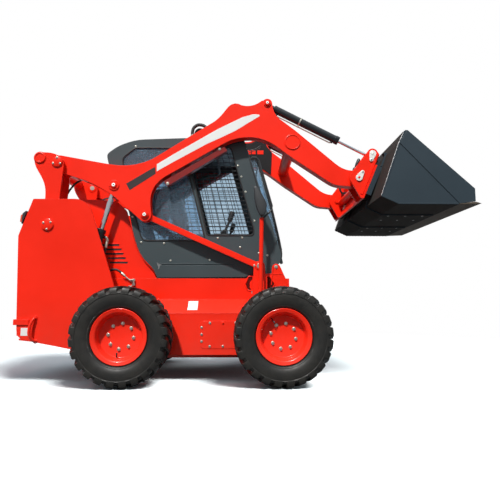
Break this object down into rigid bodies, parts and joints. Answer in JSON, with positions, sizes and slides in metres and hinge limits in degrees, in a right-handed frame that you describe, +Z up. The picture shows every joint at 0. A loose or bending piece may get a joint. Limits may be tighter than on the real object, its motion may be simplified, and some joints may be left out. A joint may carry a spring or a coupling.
{
  "type": "skid steer loader",
  "caption": "Skid steer loader with vertical-lift arms, dirt bucket on a quick coupler and a caged open-front cab on four equal wheels",
  "frame": {"origin": "on the ground under the middle of the whole machine's box, with the arms raised as stored", "axes": "+X forward, the way the bucket points; +Y to the machine's left; +Z up"},
  "size_m": [3.986, 1.868, 2.5919],
  "materials": {
    "body_red": "gloss machine enamel, light dust low down",
    "prop_red": "satin dark red enamel",
    "cab_grey": "satin dark grey enamel",
    "bucket_grey": "satin blue-grey enamel",
    "cylinder_black": "satin black enamel",
    "rod_chrome": "hard chrome",
    "bare_steel": "dull rolled steel",
    "tyre_rubber": "matt black rubber",
    "black_plastic": "moulded, fine grain",
    "seat_fabric": "black vinyl",
    "lamp_red": "clear moulded lens",
    "clear_glass": "clear flat safety glass"
  },
  "bodies": {
    "chassis": {"main_frame": "body_red", "chain_case_right": "body_red", "chain_case_left": "body_red", "tower_right": "body_red", "tower_left": "body_red", "engine_block": "bare_steel", "engine_cover": "body_red", "rear_bumper": "body_red", "rear_lamp_right": "lamp_red", "rear_lamp_left": "lamp_red", "cab_side_right": "cab_grey", "cab_side_left": "cab_grey", "side_glass_right": "clear_glass", "side_glass_left": "clear_glass", "window_guard_right": "bare_steel", "window_guard_left": "bare_steel", "cab_roof": "cab_grey", "cab_rear_panel": "cab_grey", "rear_glass": "clear_glass", "cab_front_sill": "cab_grey", "seat_base": "cab_grey", "seat_cushion": "seat_fabric", "seat_back": "seat_fabric", "control_lever_right": "black_plastic", "control_lever_left": "black_plastic", "mirror_post_right": "body_red", "mirror_post_left": "body_red", "mirror_right": "black_plastic", "mirror_left": "black_plastic"},
    "front_links": {"front_link_right": "body_red", "front_link_left": "body_red"},
    "lift_arm": {"lift_arm_right": "body_red", "lift_arm_left": "body_red", "arm_cross_tube": "body_red", "safety_prop": "prop_red"},
    "rear_link": {"rear_link_right": "body_red", "rear_link_left": "body_red", "rear_link_tube": "body_red"},
    "coupler_bucket": {"coupler": "body_red", "bucket": "bucket_grey", "cutting_edge": "bare_steel"},
    "rear_door": {"rear_door": "body_red"},
    "lift_barrel_right": {"lift_barrel_right": "cylinder_black"},
    "lift_rod_right": {"lift_rod_right": "rod_chrome"},
    "tilt_barrel_right": {"tilt_barrel_right": "cylinder_black"},
    "tilt_rod_right": {"tilt_rod_right": "rod_chrome"},
    "lift_barrel_left": {"lift_barrel_left": "cylinder_black"},
    "lift_rod_left": {"lift_rod_left": "rod_chrome"},
    "tilt_barrel_left": {"tilt_barrel_left": "cylinder_black"},
    "tilt_rod_left": {"tilt_rod_left": "rod_chrome"},
    "wheel_front_right": {"tyre_front_right": "tyre_rubber", "rim_front_right": "body_red"},
    "wheel_front_left": {"tyre_front_left": "tyre_rubber", "rim_front_left": "body_red"},
    "wheel_rear_right": {"tyre_rear_right": "tyre_rubber", "rim_rear_right": "body_red"},
    "wheel_rear_left": {"tyre_rear_left": "tyre_rubber", "rim_rear_left": "body_red"}
  },
  "joints": [
    {"name": "spin_front_right", "type": "hinge", "parent": "chassis", "child": "wheel_front_right", "pos_m": [0.336, -0.775, 0.412], "axis": [0, 1, 0], "continuous": true},
    {"name": "spin_front_left", "type": "hinge", "parent": "chassis", "child": "wheel_front_left", "pos_m": [0.336, 0.775, 0.412], "axis": [0, 1, 0], "continuous": true},
    {"name": "spin_rear_right", "type": "hinge", "parent": "chassis", "child": "wheel_rear_right", "pos_m": [-0.996, -0.775, 0.412], "axis": [0, 1, 0], "continuous": true},
    {"name": "spin_rear_left", "type": "hinge", "parent": "chassis", "child": "wheel_rear_left", "pos_m": [-0.996, 0.775, 0.412], "axis": [0, 1, 0], "continuous": true},
    {"name": "lift", "type": "hinge", "parent": "chassis", "child": "front_links", "pos_m": [0.15, 0, 1.013], "axis": [0, 1, 0], "range_deg": [-22.5, 21.5]},
    {"name": "arm_pivot", "type": "hinge", "parent": "front_links", "child": "lift_arm", "pos_m": [-0.892, 0, 1.479], "axis": [0, -1, 0], "range_deg": [-53.38, 51.02]},
    {"name": "rear_link_pivot", "type": "hinge", "parent": "lift_arm", "child": "rear_link", "pos_m": [-1.686, 0, 1.955], "axis": [0, -1, 0], "range_deg": [-23.07, 24.12]},
    {"name": "lift_barrel_pivot_right", "type": "hinge", "parent": "chassis", "child": "lift_barrel_right", "pos_m": [-1.46, -0.4825, 0.794], "axis": [0, -1, 0], "range_deg": [-3.2, 3.08]},
    {"name": "lift_rod_slide_right", "type": "slide", "parent": "lift_barrel_right", "child": "lift_rod_right", "axis": [0.2827, 0, 0.9592], "range_m": [-0.2474, 0.2365]},
    {"name": "lift_barrel_pivot_left", "type": "hinge", "parent": "chassis", "child": "lift_barrel_left", "pos_m": [-1.46, 0.4825, 0.794], "axis": [0, -1, 0], "range_deg": [-3.2, 3.08]},
    {"name": "lift_rod_slide_left", "type": "slide", "parent": "lift_barrel_left", "child": "lift_rod_left", "axis": [0.2827, 0, 0.9592], "range_m": [-0.2474, 0.2365]},
    {"name": "bucket_tilt", "type": "hinge", "parent": "lift_arm", "child": "coupler_bucket", "pos_m": [1.065, 0, 1.822], "axis": [0, 1, 0], "range_deg": [-52, 70]},
    {"name": "tilt_barrel_pivot_right", "type": "hinge", "parent": "lift_arm", "child": "tilt_barrel_right", "pos_m": [0.23, -0.4825, 2.546], "axis": [0, -1, 0], "range_deg": [-2.06, 2.6]},
    {"name": "tilt_rod_slide_right", "type": "slide", "parent": "tilt_barrel_right", "child": "tilt_rod_right", "axis": [0.8896, 0, -0.4567], "range_m": [-0.1971, 0.2647]},
    {"name": "tilt_barrel_pivot_left", "type": "hinge", "parent": "lift_arm", "child": "tilt_barrel_left", "pos_m": [0.23, 0.4825, 2.546], "axis": [0, -1, 0], "range_deg": [-2.06, 2.6]},
    {"name": "tilt_rod_slide_left", "type": "slide", "parent": "tilt_barrel_left", "child": "tilt_rod_left", "axis": [0.8896, 0, -0.4567], "range_m": [-0.1971, 0.2647]},
    {"name": "rear_door_hinge", "type": "hinge", "parent": "chassis", "child": "rear_door", "pos_m": [-1.986, 0.352, 0.985], "axis": [0, 0, -1], "range_deg": [0, 100]}
  ],
  "couplings": [
    {"joint": "arm_pivot", "follows": "lift", "ratio": 2.35},
    {"joint": "rear_link_pivot", "follows": "lift", "ratio": -1.05},
    {"joint": "lift_barrel_pivot_right", "follows": "lift", "ratio": 0.12},
    {"joint": "lift_rod_slide_right", "follows": "lift", "m_per_rad": 0.625},
    {"joint": "lift_barrel_pivot_left", "follows": "lift", "ratio": 0.12},
    {"joint": "lift_rod_slide_left", "follows": "lift", "m_per_rad": 0.625},
    {"joint": "tilt_barrel_pivot_right", "follows": "bucket_tilt", "ratio": 0.03},
    {"joint": "tilt_rod_slide_right", "follows": "bucket_tilt", "m_per_rad": 0.215},
    {"joint": "tilt_barrel_pivot_left", "follows": "bucket_tilt", "ratio": 0.03},
    {"joint": "tilt_rod_slide_left", "follows": "bucket_tilt", "m_per_rad": 0.215}
  ]
}
